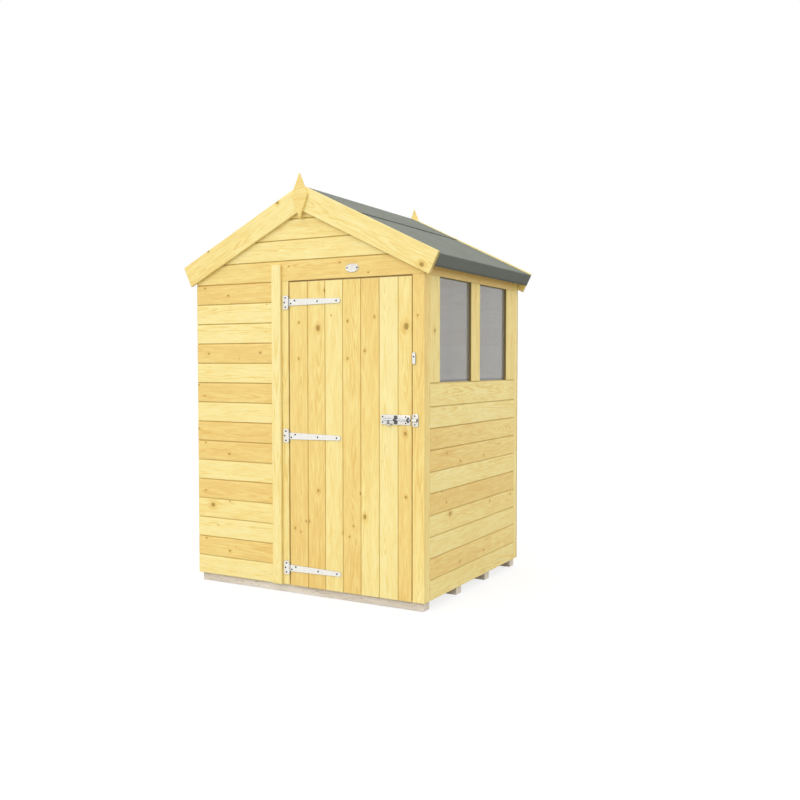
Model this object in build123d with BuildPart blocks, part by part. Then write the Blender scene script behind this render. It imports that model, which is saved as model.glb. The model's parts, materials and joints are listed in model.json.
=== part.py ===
from build123d import *
import os
from math import cos, radians, sin, tan

# A small apex garden shed, in millimetres. +Z is up, the door wall faces -Y, and the
# origin lies on the ground under the middle of the shed.

# ---- driving dimensions --------------------------------------------------------
# walls
wall_width = 1524.0          # outer face to outer face of the side cladding
wall_depth = 1302.0          # outer face to outer face of the gable cladding
cladding = 12.0              # tongue and groove boards
board_cover = 114.5          # face width of one board
first_board = 110.7          # face width of the lowest board
board_tongue = 10.0          # tongue left showing on a top board
header_course = 14           # boards below the head of the doorway
sill_course = 9              # boards below the window sill
head_height = 126.3          # walls above the heads of the doorway and windows
timber_depth = 48.0          # framing, measured through the wall
timber_width = 38.0          # framing, measured along the wall
corner_trim = 50.0           # width of the upright board on each side corner

# base
bearer_count = 4
bearer_width = 65.0
bearer_height = 63.0
bearer_inset = 20.0          # from the cladding faces of the gables
base_gap = 2.0               # side cladding to the ends of the base
floor_thickness = 14.0
skirt_height = 49.0          # underside of the cladding above the ground

# roof
roof_pitch = 26.1
felt = 3.0
roof_board = 12.0
eaves_overhang = 90.0        # side cladding to the top edge of the felt fold
eaves_drop = 72.0            # felt fold, measured square to the slope
fascia = 16.0
ridge_cover = 371.0          # ridge strip of felt, measured down each slope
ridge_beam_width = 28.0
ridge_beam_height = 75.0
rafter_depth = 38.0
purlin_width = 34.0
purlin_depth = 48.0

# bargeboards and finials
barge_rise = 8.0             # top edge above the felt, measured upright
barge_setback = 3.0          # corner of the foot inside the felt fold
barge_width = 127.0
barge_thickness = 16.0
finial_thickness = 12.0
finial_half_width = 53.0
finial_rise = 61.0           # tip above the bargeboards
finial_shoulder = 123.0      # widest place below the tip
finial_height = 252.0

# doorway and door
doorway_width = 788.75
latch_strip_width = 70.5
door_gap = 5.5               # at each edge of the door
door_head_gap = 7.7
door_board = 12.0
ledge_width = 88.0
ledge_thickness = 22.0
ledge_setback = 32.0         # ledge ends from the door's edges
lower_ledge = 97.0           # middle of the lowest ledge above the door's foot
upper_ledge = 112.0          # middle of the highest ledge below the door's top
brace_width = 70.0
cover_strip_width = 61.0
cover_strip_thickness = 16.0
cover_strip_rise = 92.3      # above the head of the doorway
hinge_strip_width = 44.75

# tee hinges
hinge_plate_width = 34.0
hinge_plate_height = 76.0
hinge_metal = 3.0
knuckle_radius = 4.0
knuckle_clear = 0.5          # knuckle to the face of the boards
knuckle_height = 38.0        # middle knuckle, carried by the strap
knuckle_end = 12.0           # each outer knuckle, carried by the plate
knuckle_play = 0.5
pin_radius = 1.6
pin_play = 0.4
strap_reach = 344.0          # pin to the rounded tip
strap_root = 38.0
strap_tip = 26.0

# padbolt
bolt_rise = 956.0            # above the foot of the door
bolt_setback = 4.5           # end of the plate from the edge of the door
bolt_plate_width = 178.0
bolt_plate_height = 52.0
bolt_metal = 3.0
rod_radius = 5.0
rod_play = 0.4
rod_stand = 9.0              # rod axis in front of the boards
rod_setback = 12.0           # end of the rod inside the end of the plate
guide_length = 12.0
guide_height = 22.0
guide_wall = 2.5
guide_setback = 16.0         # middle of the end guide from the end of the plate
knob_offset = 39.0           # from the left end of the plate
knob_radius = 4.0
knob_drop = 29.0
keeper_width = 35.5
keeper_height = 67.0
keeper_block = 24.0
keeper_play = 1.5

# turn button and name plate
button_rise = 1287.0         # pivot above the foot of the door
button_setback = 9.5         # pivot from the edge of the opening
button_width = 19.0
button_long = 38.0
button_short = 22.0
button_thickness = 4.0
button_washer = 1.0
oval_offset = 27.0           # to the right of the middle of the doorway
oval_rise = 51.5             # above the head of the doorway
oval_width = 83.0
oval_height = 47.0
oval_thickness = 3.0

# windows, measured back from the face of the door wall
window_front = 178.0
window_back = 194.0          # measured from the back gable
mullion = 122.0
glass = 4.0
glass_setback = 15.0         # face of the glass behind the face of the wall
glass_lap = 12.0             # glass hidden behind the boards around it

# ---- values worked out from them -----------------------------------------------
half_width = wall_width / 2
inner_width = half_width - cladding
frame_width = inner_width - timber_depth
front = -wall_depth / 2
back = wall_depth / 2
front_lining = front + cladding
back_lining = back - cladding
front_frame = front_lining + timber_depth
back_frame = back_lining - timber_depth
front_trim = front_lining + corner_trim
back_trim = back_lining - corner_trim
header_z = skirt_height + first_board + header_course * board_cover
sill_z = skirt_height + first_board + sill_course * board_cover + board_tongue
floor_z = bearer_height + floor_thickness

slope = tan(radians(roof_pitch))
along = cos(radians(roof_pitch))
down = sin(radians(roof_pitch))
lining_depth = felt + roof_board
wall_top = header_z + head_height
felt_apex = wall_top + lining_depth / along + slope * half_width


def under_roof(x, depth):
    """Height at x of the line that lies depth below the felt, square to the slope."""
    return felt_apex - depth / along - slope * abs(x)


plate_top = under_roof(inner_width, lining_depth)
plate_bottom = plate_top - timber_width
stud_top = under_roof(inner_width, lining_depth + rafter_depth)

opening_right = half_width - latch_strip_width
opening_left = opening_right - doorway_width
door_left = opening_left + door_gap
door_right = opening_right - door_gap
door_top = header_z - door_head_gap
pin_x = opening_left + door_gap / 2
pin_y = front - knuckle_radius - knuckle_clear
hinge_strip_left = opening_left - hinge_strip_width
ledge_low = skirt_height + lower_ledge
ledge_high = door_top - upper_ledge
ledge_heights = (ledge_low, (ledge_low + ledge_high) / 2, ledge_high)
rod_y = front - rod_stand
bolt_height = skirt_height + bolt_rise
bolt_plate_right = door_right - bolt_setback
bolt_plate_left = bolt_plate_right - bolt_plate_width


def timber(x, y, z):
    """Adds one square-edged board between the given pairs of limits."""
    with Locations((x[0], y[0], z[0])):
        Box(x[1] - x[0], y[1] - y[0], z[1] - z[0], align=(Align.MIN, Align.MIN, Align.MIN))


def gable_board(points, y, thickness):
    """Adds a board with the outline points (x, z), its near face at y, running to +Y."""
    with BuildSketch(Plane.XZ.offset(-y)) as outline:
        Polygon(*points, align=None)
    extrude(outline.sketch, amount=-thickness)


def on_slope(side, run, depth):
    """The point run down the slope and depth below the felt, on the side -1 or 1."""
    return (side * (run * along - depth * down), felt_apex - run * down - depth * along)


def at_middle(depth):
    """The point under the apex, depth below the felt."""
    return (0, under_roof(0, depth))


def save(piece, name):
    """Labels a finished piece and writes it."""
    piece.part.label = name
    export_step(piece.part, f"parts/{name}.step")


os.makedirs("parts", exist_ok=True)

# ---- base ----------------------------------------------------------------------
# Four bearers lie side to side, and the floor rests on them inside the cladding.
base_half = inner_width - base_gap
base_front = front + bearer_inset
base_back = back - bearer_inset
bearer_pitch = (base_back - base_front - bearer_width) / (bearer_count - 1)

with BuildPart() as bearers:
    for number in range(bearer_count):
        near = base_front + number * bearer_pitch
        timber((-base_half, base_half), (near, near + bearer_width), (0, bearer_height))
save(bearers, "bearers")

with BuildPart() as floor_boards:
    timber((-base_half, base_half), (base_front, base_back), (bearer_height, floor_z))
save(floor_boards, "floor_boards")

# ---- front wall ----------------------------------------------------------------
with BuildPart() as front_cladding:
    timber((-half_width, hinge_strip_left), (front, front_lining), (skirt_height, header_z))
save(front_cladding, "front_cladding")

gable_outline = [
    (-half_width, header_z),
    (half_width, header_z),
    (half_width, wall_top),
    at_middle(lining_depth),
    (-half_width, wall_top),
]
with BuildPart() as front_gable:
    gable_board(gable_outline, front, cladding)
save(front_gable, "front_gable")

with BuildPart() as hinge_strip:
    timber((hinge_strip_left, opening_left), (front, front_lining), (skirt_height, header_z))
save(hinge_strip, "hinge_strip")

with BuildPart() as latch_strip:
    timber((opening_right, half_width), (front, front_lining), (skirt_height, header_z))
save(latch_strip, "latch_strip")

with BuildPart() as cover_strip:
    timber(
        (hinge_strip_left - cover_strip_width, hinge_strip_left),
        (front - cover_strip_thickness, front),
        (skirt_height, header_z + cover_strip_rise),
    )
save(cover_strip, "cover_strip")

# The frame stands on the floor: corner studs run up to the rafters, and the two
# studs beside the doorway carry its head.
frame_y = (front_lining, front_frame)
hinge_stud = (opening_left - timber_width, opening_left)
latch_stud = (opening_right, inner_width)
with BuildPart() as front_studs:
    timber((-inner_width, timber_width - inner_width), frame_y, (floor_z, stud_top))
    timber(hinge_stud, frame_y, (floor_z, header_z))
    timber(latch_stud, frame_y, (floor_z, stud_top))
save(front_studs, "front_studs")

middle_rail_z = (floor_z + header_z) / 2
with BuildPart() as front_rails:
    for low in (floor_z, middle_rail_z):
        timber((timber_width - inner_width, hinge_stud[0]), frame_y, (low, low + timber_width))
    timber(
        (timber_width - inner_width, opening_right),
        frame_y,
        (header_z, header_z + timber_width),
    )
save(front_rails, "front_rails")

# ---- back wall -----------------------------------------------------------------
with BuildPart() as back_cladding:
    back_outline = [
        (-half_width, skirt_height),
        (half_width, skirt_height),
        (half_width, wall_top),
        at_middle(lining_depth),
        (-half_width, wall_top),
    ]
    gable_board(back_outline, back_lining, cladding)
save(back_cladding, "back_cladding")

back_y = (back_frame, back_lining)
with BuildPart() as back_studs:
    timber((-inner_width, timber_width - inner_width), back_y, (floor_z, stud_top))
    timber((inner_width - timber_width, inner_width), back_y, (floor_z, stud_top))
    timber((-timber_width / 2, timber_width / 2), back_y, (floor_z, header_z))
save(back_studs, "back_studs")

with BuildPart() as back_rails:
    for side in (-1, 1):
        ends = sorted((side * timber_width / 2, side * (inner_width - timber_width)))
        for low in (floor_z, middle_rail_z):
            timber(ends, back_y, (low, low + timber_width))
    timber(
        (timber_width - inner_width, inner_width - timber_width),
        back_y,
        (header_z, header_z + timber_width),
    )
save(back_rails, "back_rails")

# ---- side walls ----------------------------------------------------------------
# Boards run between the upright corner trims, which cover the ends of the gables.
left_x = (-half_width, -inner_width)
right_x = (inner_width, half_width)

with BuildPart() as corner_trims:
    for face in (left_x, right_x):
        timber(face, (front_lining, front_trim), (skirt_height, wall_top))
        timber(face, (back_trim, back_lining), (skirt_height, wall_top))
save(corner_trims, "corner_trims")

with BuildPart() as left_cladding:
    timber(left_x, (front_trim, back_trim), (skirt_height, wall_top))
save(left_cladding, "left_cladding")

with BuildPart() as right_cladding:
    timber(right_x, (front_trim, back_trim), (skirt_height, sill_z))
save(right_cladding, "right_cladding")

# Two windows stand on the boards of the right wall, with uprights between them and
# one board over both.
window_width = (wall_depth - window_front - window_back - mullion) / 2
window_starts = (front + window_front, front + window_front + window_width + mullion)
window_spans = [(start, start + window_width) for start in window_starts]
stile_spans = [
    (front_trim, window_spans[0][0]),
    (window_spans[0][1], window_spans[1][0]),
    (window_spans[1][1], back_trim),
]
with BuildPart() as window_stiles:
    for span in stile_spans:
        timber(right_x, span, (sill_z, header_z))
save(window_stiles, "window_stiles")

with BuildPart() as window_head:
    timber(right_x, (front_trim, back_trim), (header_z, wall_top))
save(window_head, "window_head")

glass_x = (half_width - glass_setback - glass, half_width - glass_setback)
glass_top = header_z + glass_lap
with BuildPart() as window_glass:
    for span in window_spans:
        timber(glass_x, (span[0] - glass_lap, span[1] + glass_lap), (sill_z, glass_top))
save(window_glass, "window_glass")

# Each side frame has a stud at both ends and one in the middle, between a bottom
# rail, a rail at the sill and a plate under the roof.
side_studs_y = [
    (front_frame, front_frame + timber_width),
    (-timber_width / 2, timber_width / 2),
    (back_frame - timber_width, back_frame),
]
side_bays_y = [
    (side_studs_y[0][1], side_studs_y[1][0]),
    (side_studs_y[1][1], side_studs_y[2][0]),
]
left_frame_x = (-inner_width, -frame_width)
right_frame_x = (frame_width, inner_width)


def side_studs(across):
    """Adds the studs of one side wall, under its plate."""
    for span in side_studs_y:
        timber(across, span, (floor_z, plate_bottom))


def side_rails(across, heights):
    """Adds the plate of one side wall, and rails of the given top heights in each bay."""
    timber(across, (front_frame, back_frame), (plate_bottom, plate_top))
    for span in side_bays_y:
        for top in heights:
            timber(across, span, (top - timber_width, top))


with BuildPart() as left_studs:
    side_studs(left_frame_x)
save(left_studs, "left_studs")

with BuildPart() as left_rails:
    side_rails(left_frame_x, (floor_z + timber_width, sill_z))
save(left_rails, "left_rails")

with BuildPart() as right_studs:
    side_studs(right_frame_x)
save(right_studs, "right_studs")

with BuildPart() as right_rails:
    side_rails(right_frame_x, (floor_z + timber_width, sill_z, glass_top + timber_width))
save(right_rails, "right_rails")

# ---- roof ----------------------------------------------------------------------
# A ridge beam runs between the gables, with a rafter down each gable and a purlin
# half way down each slope.
fold_run = (half_width + eaves_overhang) / along
fascia_run = fold_run - felt
board_run = fascia_run - fascia
ridge_half = ridge_beam_width / 2
ridge_shoulder = under_roof(ridge_half, lining_depth)
ridge_foot = under_roof(0, lining_depth) - ridge_beam_height
with BuildPart() as ridge_beam:
    ridge_outline = [
        (-ridge_half, ridge_foot),
        (ridge_half, ridge_foot),
        (ridge_half, ridge_shoulder),
        at_middle(lining_depth),
        (-ridge_half, ridge_shoulder),
    ]
    gable_board(ridge_outline, front_lining, back_lining - front_lining)
save(ridge_beam, "ridge_beam")

rafter_under = lining_depth + rafter_depth
with BuildPart() as rafters:
    for near in (front_lining, back_frame):
        for side in (-1, 1):
            rafter_outline = [
                (side * ridge_half, under_roof(ridge_half, lining_depth)),
                (side * inner_width, under_roof(inner_width, lining_depth)),
                (side * inner_width, under_roof(inner_width, rafter_under)),
                (side * ridge_half, under_roof(ridge_half, rafter_under)),
            ]
            gable_board(rafter_outline, near, timber_depth)
save(rafters, "rafters")

purlin_top = (board_run - purlin_width) / 2
purlin_foot = (board_run + purlin_width) / 2
with BuildPart() as purlins:
    for side in (-1, 1):
        purlin_outline = [
            on_slope(side, purlin_top, lining_depth),
            on_slope(side, purlin_foot, lining_depth),
            on_slope(side, purlin_foot, lining_depth + purlin_depth),
            on_slope(side, purlin_top, lining_depth + purlin_depth),
        ]
        gable_board(purlin_outline, front_frame, back_frame - front_frame)
save(purlins, "purlins")

# The roof boards end against the fascia, and the felt lies over both and folds down
# the face of the fascia.


def roof_boards(side):
    """Adds the boarding of one slope."""
    outline = [
        at_middle(felt),
        on_slope(side, board_run, felt),
        on_slope(side, board_run, lining_depth),
        at_middle(lining_depth),
    ]
    gable_board(outline, front, wall_depth)


def eaves_fascia(side):
    """Adds the board along the eaves of one slope, square to it."""
    outline = [
        on_slope(side, board_run, felt),
        on_slope(side, fascia_run, felt),
        on_slope(side, fascia_run, eaves_drop),
        on_slope(side, board_run, eaves_drop),
    ]
    gable_board(outline, front, wall_depth)


def roof_felt(side):
    """Adds the felt of one slope with its fold down the fascia."""
    outline = [
        at_middle(0),
        on_slope(side, fold_run, 0),
        on_slope(side, fold_run, eaves_drop),
        on_slope(side, fascia_run, eaves_drop),
        on_slope(side, fascia_run, felt),
        at_middle(felt),
    ]
    gable_board(outline, front, wall_depth)


with BuildPart() as roof_boards_left:
    roof_boards(-1)
save(roof_boards_left, "roof_boards_left")

with BuildPart() as roof_boards_right:
    roof_boards(1)
save(roof_boards_right, "roof_boards_right")

with BuildPart() as fascia_left:
    eaves_fascia(-1)
save(fascia_left, "fascia_left")

with BuildPart() as fascia_right:
    eaves_fascia(1)
save(fascia_right, "fascia_right")

with BuildPart() as felt_left:
    roof_felt(-1)
save(felt_left, "felt_left")

with BuildPart() as felt_right:
    roof_felt(1)
save(felt_right, "felt_right")

# A second strip of felt is bent over the ridge.
with BuildPart() as felt_ridge:
    strip_outline = [
        on_slope(-1, ridge_cover, 0),
        on_slope(-1, ridge_cover, -felt),
        at_middle(-felt),
        on_slope(1, ridge_cover, -felt),
        on_slope(1, ridge_cover, 0),
        at_middle(0),
    ]
    gable_board(strip_outline, front, wall_depth)
save(felt_ridge, "felt_ridge")

# ---- bargeboards and finials ---------------------------------------------------
# Each bargeboard is cut plumb at the apex and square at its foot, and a diamond
# covers the joint.
barge_apex = felt_apex + barge_rise
barge_reach = half_width + eaves_overhang - barge_setback
barge_foot = (
    barge_reach - barge_width * down,
    barge_apex - slope * barge_reach - barge_width * along,
)


def bargeboards(side):
    """Adds the two bargeboards of one slope, at the front and at the back."""
    outline = [
        (0, barge_apex),
        (side * barge_reach, barge_apex - slope * barge_reach),
        (side * barge_foot[0], barge_foot[1]),
        (0, barge_apex - barge_width / along),
    ]
    for near in (front - barge_thickness, back):
        gable_board(outline, near, barge_thickness)


with BuildPart() as bargeboards_left:
    bargeboards(-1)
save(bargeboards_left, "bargeboards_left")

with BuildPart() as bargeboards_right:
    bargeboards(1)
save(bargeboards_right, "bargeboards_right")

finial_top = barge_apex + finial_rise
finial_middle = finial_top - finial_shoulder
with BuildPart() as finials:
    diamond = [
        (0, finial_top),
        (finial_half_width, finial_middle),
        (0, finial_top - finial_height),
        (-finial_half_width, finial_middle),
    ]
    gable_board(diamond, front - barge_thickness - finial_thickness, finial_thickness)
    gable_board(diamond, back + barge_thickness, finial_thickness)
save(finials, "finials")

# ---- name plate ----------------------------------------------------------------
# A plain oval plate is fixed over the door.
oval_x = (opening_left + opening_right) / 2 + oval_offset
with BuildPart() as name_plate:
    with BuildSketch(Plane.XZ.offset(-front)):
        with Locations((oval_x, header_z + oval_rise)):
            Ellipse(oval_width / 2, oval_height / 2)
    extrude(amount=oval_thickness)
save(name_plate, "name_plate")

# ---- door ----------------------------------------------------------------------
with BuildPart() as door_boards:
    timber((door_left, door_right), (front, front + door_board), (skirt_height, door_top))
save(door_boards, "door_boards")

# Ledges across the back hold the boards, and a brace rises from the hinge side
# between each pair of ledges.
ledge_y = front + door_board
ledge_left = door_left + ledge_setback
ledge_right = door_right - ledge_setback
with BuildPart() as door_ledges:
    for height in ledge_heights:
        timber(
            (ledge_left, ledge_right),
            (ledge_y, ledge_y + ledge_thickness),
            (height - ledge_width / 2, height + ledge_width / 2),
        )
save(door_ledges, "door_ledges")

with BuildPart() as door_braces:
    for lower, upper in zip(ledge_heights, ledge_heights[1:]):
        brace_foot = lower + ledge_width / 2
        brace_head = upper - ledge_width / 2
        brace_outline = [
            (ledge_left, brace_foot),
            (ledge_left + brace_width, brace_foot),
            (ledge_right, brace_head),
            (ledge_right - brace_width, brace_head),
        ]
        gable_board(brace_outline, ledge_y, ledge_thickness)
save(door_braces, "door_braces")

# ---- tee hinges ----------------------------------------------------------------
# The plate carries the pin and the outer knuckles, and the strap the middle one.
plate_left = pin_x - knuckle_radius - hinge_plate_width
knuckle_half = knuckle_height / 2
plate_half = hinge_plate_height / 2
knuckle_low = knuckle_half + knuckle_play
with BuildPart() as hinge_plates:
    for height in ledge_heights:
        timber(
            (plate_left, pin_x - knuckle_radius - knuckle_play),
            (front - hinge_metal, front),
            (height - plate_half, height + plate_half),
        )
        for low in (height - knuckle_low - knuckle_end, height + knuckle_low):
            with BuildSketch(Plane.XY.offset(low)):
                with Locations((pin_x, pin_y)):
                    Circle(knuckle_radius)
                with Locations((pin_x - knuckle_radius, front - hinge_metal / 2)):
                    Rectangle(2 * knuckle_radius, hinge_metal)
            extrude(amount=knuckle_end)
        with BuildSketch(Plane.XY.offset(height - knuckle_low - knuckle_end)):
            with Locations((pin_x, pin_y)):
                Circle(pin_radius)
        extrude(amount=2 * (knuckle_low + knuckle_end))
save(hinge_plates, "hinge_plates")

with BuildPart() as hinge_straps:
    for height in ledge_heights:
        with BuildSketch(Plane.XZ.offset(-front)):
            with Locations((pin_x, height)):
                Polygon(
                    (knuckle_radius, -strap_root / 2),
                    (strap_reach - strap_tip / 2, -strap_tip / 2),
                    (strap_reach - strap_tip / 2, strap_tip / 2),
                    (knuckle_radius, strap_root / 2),
                    align=None,
                )
            with Locations((pin_x + strap_reach - strap_tip / 2, height)):
                Circle(strap_tip / 2)
        extrude(amount=hinge_metal)
        with BuildSketch(Plane.XY.offset(height - knuckle_half)):
            with Locations((pin_x, pin_y)):
                Circle(knuckle_radius)
            with Locations((pin_x + knuckle_radius, front - hinge_metal / 2)):
                Rectangle(2 * knuckle_radius, hinge_metal)
            with Locations((pin_x, pin_y)):
                Circle(pin_radius + pin_play, mode=Mode.SUBTRACT)
        extrude(amount=knuckle_height)
save(hinge_straps, "hinge_straps")

# ---- padbolt -------------------------------------------------------------------
# The rod slides in two guides on the door's plate and into a keeper on the strip.
guide_y = (rod_y - rod_radius - rod_play - guide_wall, front - bolt_metal)


def rod_hole(left, length, radius):
    """Cuts a hole for the rod through a length of metal that starts at left."""
    with BuildSketch(Plane.YZ.offset(left)) as bore:
        with Locations((rod_y, bolt_height)):
            Circle(radius)
    extrude(bore.sketch, amount=length, mode=Mode.SUBTRACT)


guide_places = (
    (bolt_plate_left + bolt_plate_right) / 2,
    bolt_plate_right - guide_setback,
)
with BuildPart() as bolt_plate:
    timber(
        (bolt_plate_left, bolt_plate_right),
        (front - bolt_metal, front),
        (bolt_height - bolt_plate_height / 2, bolt_height + bolt_plate_height / 2),
    )
    for place in guide_places:
        left = place - guide_length / 2
        timber(
            (left, left + guide_length),
            guide_y,
            (bolt_height - guide_height / 2, bolt_height + guide_height / 2),
        )
        rod_hole(left, guide_length, rod_radius + rod_play)
save(bolt_plate, "bolt_plate")

rod_left = bolt_plate_left + rod_setback
with BuildPart() as bolt_rod:
    with BuildSketch(Plane.YZ.offset(rod_left)):
        with Locations((rod_y, bolt_height)):
            Circle(rod_radius)
    extrude(amount=bolt_plate_right - rod_left)
    with BuildSketch(Plane.XY.offset(bolt_height - knob_drop)):
        with Locations((bolt_plate_left + knob_offset, rod_y)):
            Circle(knob_radius)
    extrude(amount=knob_drop)
save(bolt_rod, "bolt_rod")

keeper_middle = opening_right + keeper_width / 2
with BuildPart() as bolt_keeper:
    timber(
        (opening_right, opening_right + keeper_width),
        (front - bolt_metal, front),
        (bolt_height - keeper_height / 2, bolt_height + keeper_height / 2),
    )
    block_left = keeper_middle - keeper_block / 2
    timber(
        (block_left, block_left + keeper_block),
        (guide_y[0] - keeper_play, guide_y[1]),
        (bolt_height - guide_height / 2, bolt_height + guide_height / 2),
    )
    rod_hole(block_left, keeper_block, rod_radius + keeper_play)
save(bolt_keeper, "bolt_keeper")

# ---- turn button ---------------------------------------------------------------
# It hangs beside the door, and turns up across the door's edge to hold it shut.
button_x = opening_right + button_setback
button_height = skirt_height + button_rise
with BuildPart() as turn_button:
    with BuildSketch(Plane.XZ.offset(-front + button_washer)):
        with Locations((button_x, button_height + (button_short - button_long) / 2)):
            RectangleRounded(button_width, button_long + button_short, button_width / 4)
    extrude(amount=button_thickness)
    with BuildSketch(Plane.XZ.offset(-front)):
        with Locations((button_x, button_height)):
            Circle(button_width / 3)
    extrude(amount=button_washer)
save(turn_button, "turn_button")
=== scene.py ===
import bmesh
import bpy
import json
import random
from math import cos, pi, radians, sin
from mathutils import Matrix, Vector


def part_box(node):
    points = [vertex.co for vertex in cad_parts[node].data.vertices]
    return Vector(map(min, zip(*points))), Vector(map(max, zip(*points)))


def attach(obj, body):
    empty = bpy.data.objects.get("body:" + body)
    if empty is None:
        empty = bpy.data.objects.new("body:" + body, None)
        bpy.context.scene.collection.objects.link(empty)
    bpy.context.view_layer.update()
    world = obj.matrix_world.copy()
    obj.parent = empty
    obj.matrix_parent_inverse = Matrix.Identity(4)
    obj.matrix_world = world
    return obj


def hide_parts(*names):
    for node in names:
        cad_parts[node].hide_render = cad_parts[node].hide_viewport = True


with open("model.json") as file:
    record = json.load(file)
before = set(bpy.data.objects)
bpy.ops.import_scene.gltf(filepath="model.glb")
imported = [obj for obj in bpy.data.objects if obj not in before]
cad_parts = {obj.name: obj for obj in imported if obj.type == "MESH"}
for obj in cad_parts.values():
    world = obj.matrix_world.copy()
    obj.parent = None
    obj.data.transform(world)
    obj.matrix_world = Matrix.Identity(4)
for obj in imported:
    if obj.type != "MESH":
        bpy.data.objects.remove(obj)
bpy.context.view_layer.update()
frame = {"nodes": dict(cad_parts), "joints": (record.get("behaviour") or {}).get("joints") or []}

mm = 0.001
sky_strength = 1.20
lamp_strength = 0.92
lamp_from = (-0.28, -0.60, 0.75)
floor_reach, floor_drop = 90, 0.4 * mm
floor_matt, floor_seen, floor_glow = 0.40, 0.97, 0.80

scene = bpy.context.scene
scene.view_settings.view_transform = "Standard"


def linked(name, data):
    """An object in the scene that shows data."""
    made = bpy.data.objects.new(name, data)
    scene.collection.objects.link(made)
    return made


camera = linked("camera", bpy.data.cameras.new("camera"))
camera.location = (2.8785, -4.7558, 1.295)
camera.rotation_euler = (radians(87.739), 0, radians(28.851))
camera.data.sensor_width = 36
camera.data.lens = 40.30
camera.data.clip_end = 300
scene.camera = camera

lamp = linked("lamp", bpy.data.lights.new("lamp", "SUN"))
lamp.data.energy = lamp_strength
lamp.data.angle = radians(55)
lamp.rotation_euler = Vector(lamp_from).to_track_quat("Z", "Y").to_euler()


class Value:
    """What a socket of a node tree gives, so that sums can be written plainly."""

    def __init__(self, socket):
        self.socket, self.tree = socket, socket.id_data

    def __add__(self, other):
        return calc("ADD", self, other)

    def __sub__(self, other):
        return calc("SUBTRACT", self, other)

    def __mul__(self, other):
        return calc("MULTIPLY", self, other)

    def __truediv__(self, other):
        return calc("DIVIDE", self, other)


def node(tree, kind, *values, named=None, **settings):
    """Adds a node, and sets or links its inputs in order, or by name."""
    made = tree.nodes.new(kind)
    for key, value in settings.items():
        setattr(made, key, value)
    for place, value in [*enumerate(values), *(named or {}).items()]:
        if isinstance(value, Value):
            tree.links.new(value.socket, made.inputs[place])
        else:
            made.inputs[place].default_value = value
    return made


def output(tree, kind, *values, place=0, **more):
    """What a new node gives."""
    return Value(node(tree, kind, *values, **more).outputs[place])


def shared_tree(*values):
    """The node tree that some values, or numbers among them, belong to."""
    return next(value.tree for value in values if isinstance(value, Value))


def calc(operation, first, *others):
    """One sum of first, or of first with each of the others in turn."""
    tree = shared_tree(first, *others)
    made = output(tree, "ShaderNodeMath", first, *others[:1], operation=operation)
    return calc(operation, made, *others[1:]) if others[1:] else made


def emptied(owner):
    """The node tree of a material or a world, with nothing in it."""
    owner.use_nodes = True
    owner.node_tree.nodes.clear()
    return owner.node_tree


def seen_directly(tree):
    """1 for what the camera, a reflection or a window sees, and 0 for other light."""
    rays = tree.nodes.new("ShaderNodeLightPath").outputs
    seen = [Value(rays["Is " + kind + " Ray"]) for kind in ("Glossy", "Transmission", "Camera")]
    return calc("MAXIMUM", *seen)


scene.world = bpy.data.worlds.new("studio")
tree = emptied(scene.world)
dim, bright = [
    output(tree, "ShaderNodeBackground", (1, 1, 1, 1), strength) for strength in (sky_strength, 1.0)
]
sky = output(tree, "ShaderNodeMixShader", seen_directly(tree), dim, bright)
node(tree, "ShaderNodeOutputWorld", sky)

floor_mesh = bpy.data.meshes.new("studio_floor")
corners = [(x * floor_reach, y * floor_reach) for x, y in ((-1, -1), (1, -1), (1, 1), (-1, 1))]
floor_mesh.from_pydata([(x, y, -floor_drop) for x, y in corners], [], [(0, 1, 2, 3)])
white = bpy.data.materials.new("studio_white")
tree = emptied(white)
seen = seen_directly(tree)
shade = output(tree, "ShaderNodeMapRange", seen, 0.0, 1.0, floor_matt, floor_seen)
matt = output(tree, "ShaderNodeBsdfDiffuse", shade)
glow = output(tree, "ShaderNodeEmission", (1, 1, 1, 1), 1.0)
mixed = output(tree, "ShaderNodeMixShader", seen * floor_glow, matt, glow)
node(tree, "ShaderNodeOutputMaterial", mixed)
floor_mesh.materials.append(white)
linked("studio_floor", floor_mesh)

# ---- Bearers -------------------------------------------------------------------
# Four square bearers carry the shed clear of the ground. They are rough-sawn
# softwood, pressure treated and gone pinkish grey, and the floor is nailed to them.
bearer_arris = 3 * mm
ring_width = 4.6 * mm
knot_names = ["knot_" + letter for letter in "abcdef"]
knots_drawn = 3
knot_sizes = (0.1, 0.1, 0.1, 1.4, 2.2)
knot_reach = 1.5 * mm
growing_way = Vector((0.31, 0.52, 0.79))
weld_gap = 0.01 * mm
sharp_turn = 0.4


def opened(*meshes):
    """A copy of some meshes together, ready to be worked."""
    bm = bmesh.new()
    for mesh in meshes:
        bm.from_mesh(mesh)
    return bm


def closed(bm, mesh):
    """Puts a worked copy back into a mesh."""
    bm.to_mesh(mesh)
    bm.free()
    return mesh


def shown(name, bm):
    """An object in the scene of what bm holds."""
    return linked(name, closed(bm, bpy.data.meshes.new(name)))


def boxed(points, axes):
    """The middle and half sizes of some points, measured along three axes."""
    spans = [[p.dot(axis) for p in points] for axis in axes]
    middle = [(min(s) + max(s)) / 2 for s in spans]
    return middle, [(max(s) - min(s)) / 2 for s in spans]


def islands(bm):
    """The separate solids of a mesh, each as a list of its vertices."""
    seen, found = set(), []
    for first in bm.verts:
        if first in seen:
            continue
        seen.add(first)
        solid = [first]
        for vertex in solid:
            for edge in vertex.link_edges:
                other = edge.other_vert(vertex)
                if other not in seen:
                    seen.add(other)
                    solid.append(other)
        found.append(solid)
    return found


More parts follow.
